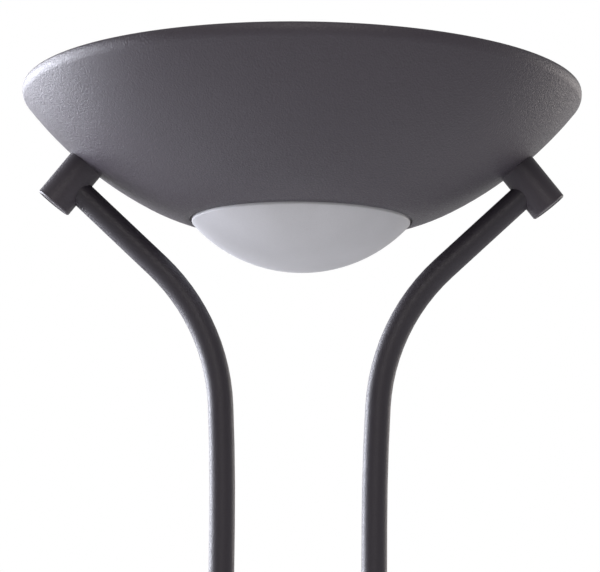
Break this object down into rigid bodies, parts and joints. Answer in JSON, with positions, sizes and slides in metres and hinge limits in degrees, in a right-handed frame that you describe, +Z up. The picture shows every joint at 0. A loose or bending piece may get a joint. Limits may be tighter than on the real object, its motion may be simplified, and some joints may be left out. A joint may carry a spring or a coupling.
{
  "type": "torchiere floor lamp",
  "caption": "Torchiere floor lamp: wide metal bowl with a frosted glass dish under it, carried by two parallel stems on a weighted round base, with a rotary dimmer.",
  "frame": {"origin": "centre of the base's underside, on the floor; the middle of the bounding box's bottom", "axes": "+Z up along the stems; X from the left stem to the right stem; -Y towards the front, where the dimmer knob is"},
  "size_m": [0.3, 0.3, 1.8],
  "materials": {
    "bowl_paint": "fine powder coat outside, white inside",
    "dark_paint": "fine powder coat",
    "base_rubber": "matte",
    "silicone": "translucent white",
    "ballast_iron": "as cast",
    "plated_steel": "zinc plated",
    "spring_steel": "bright rolled",
    "screw_steel": "zinc plated",
    "reflector_aluminium": "bright",
    "frosted_glass": "acid etched",
    "clear_glass": "polished",
    "quartz": "polished",
    "ceramic": "unglazed steatite",
    "contact_brass": "satin",
    "case_plastic": "fine spark-eroded texture",
    "knob_plastic": "satin",
    "control_plastic": "moulded",
    "board": "phenolic paper",
    "terminal_plastic": "moulded polyamide",
    "component_body": "moulded",
    "lead_jacket": "smooth PVC",
    "wire_sleeve": "braided glass fibre"
  },
  "bodies": {
    "frame": {"base_pad": "base_rubber", "bottom_plate": "plated_steel", "plate_screws": "screw_steel", "ballast_plate": "ballast_iron", "base_cover": "dark_paint", "cord_grommet": "base_rubber", "base_studs": "plated_steel", "base_washers": "plated_steel", "base_nuts": "plated_steel", "base_collars": "dark_paint", "terminal_block": "terminal_plastic", "stem_lower_left": "dark_paint", "stem_middle_left": "dark_paint", "stem_upper_left": "dark_paint", "stem_lower_right": "dark_paint", "stem_middle_right": "dark_paint", "stem_upper_right": "dark_paint", "stem_couplers": "plated_steel", "spreader_lower": "dark_paint", "spreader_upper": "dark_paint", "spreader_screws": "screw_steel", "dimmer_front_shell": "case_plastic", "dimmer_rear_shell": "case_plastic", "dimmer_screws": "screw_steel", "dimmer_control": "control_plastic", "control_nut": "plated_steel", "dimmer_board": "board", "dimmer_terminals": "terminal_plastic", "dimmer_components": "component_body", "shade_bowl": "bowl_paint", "boss_left": "dark_paint", "boss_right": "dark_paint", "boss_caps": "dark_paint", "boss_screws": "screw_steel", "boss_nipples": "plated_steel", "boss_washers": "plated_steel", "boss_nuts": "plated_steel", "glass_diffuser": "frosted_glass", "glass_gasket": "silicone", "lamp_bridge": "plated_steel", "bridge_screws": "screw_steel", "glass_yoke": "spring_steel", "yoke_pads": "silicone", "reflector": "reflector_aluminium", "safety_glass": "clear_glass", "safety_clips": "spring_steel", "bulb_tube": "quartz", "bulb_ends": "ceramic", "lamp_holder_left": "ceramic", "lamp_holder_right": "ceramic", "holder_screws": "screw_steel", "lead_lower": "lead_jacket", "lead_upper": "lead_jacket", "holder_wires": "wire_sleeve"},
    "switch": {"switch_slider": "terminal_plastic"},
    "knob": {"dimmer_shaft": "plated_steel", "dimmer_knob": "knob_plastic", "knob_screw": "screw_steel"},
    "contact_left": {"contact_left": "contact_brass"},
    "contact_right": {"contact_right": "contact_brass"}
  },
  "joints": [
    {"name": "switch_push", "type": "slide", "parent": "frame", "child": "switch", "axis": [0, 1, 0], "range_m": [0, 0.0012], "stiffness_N_per_m": 800, "springref_m": -0.001},
    {"name": "knob_turn", "type": "hinge", "parent": "switch", "child": "knob", "pos_m": [0, -0.0246, 1.08], "axis": [0, 1, 0], "range_deg": [0, 270]},
    {"name": "contact_left_slide", "type": "slide", "parent": "frame", "child": "contact_left", "axis": [-1, 0, 0], "range_m": [0, 0.0025], "stiffness_N_per_m": 600, "springref_m": -0.001},
    {"name": "contact_right_slide", "type": "slide", "parent": "frame", "child": "contact_right", "axis": [1, 0, 0], "range_m": [0, 0.0025], "stiffness_N_per_m": 600, "springref_m": -0.001}
  ]
}
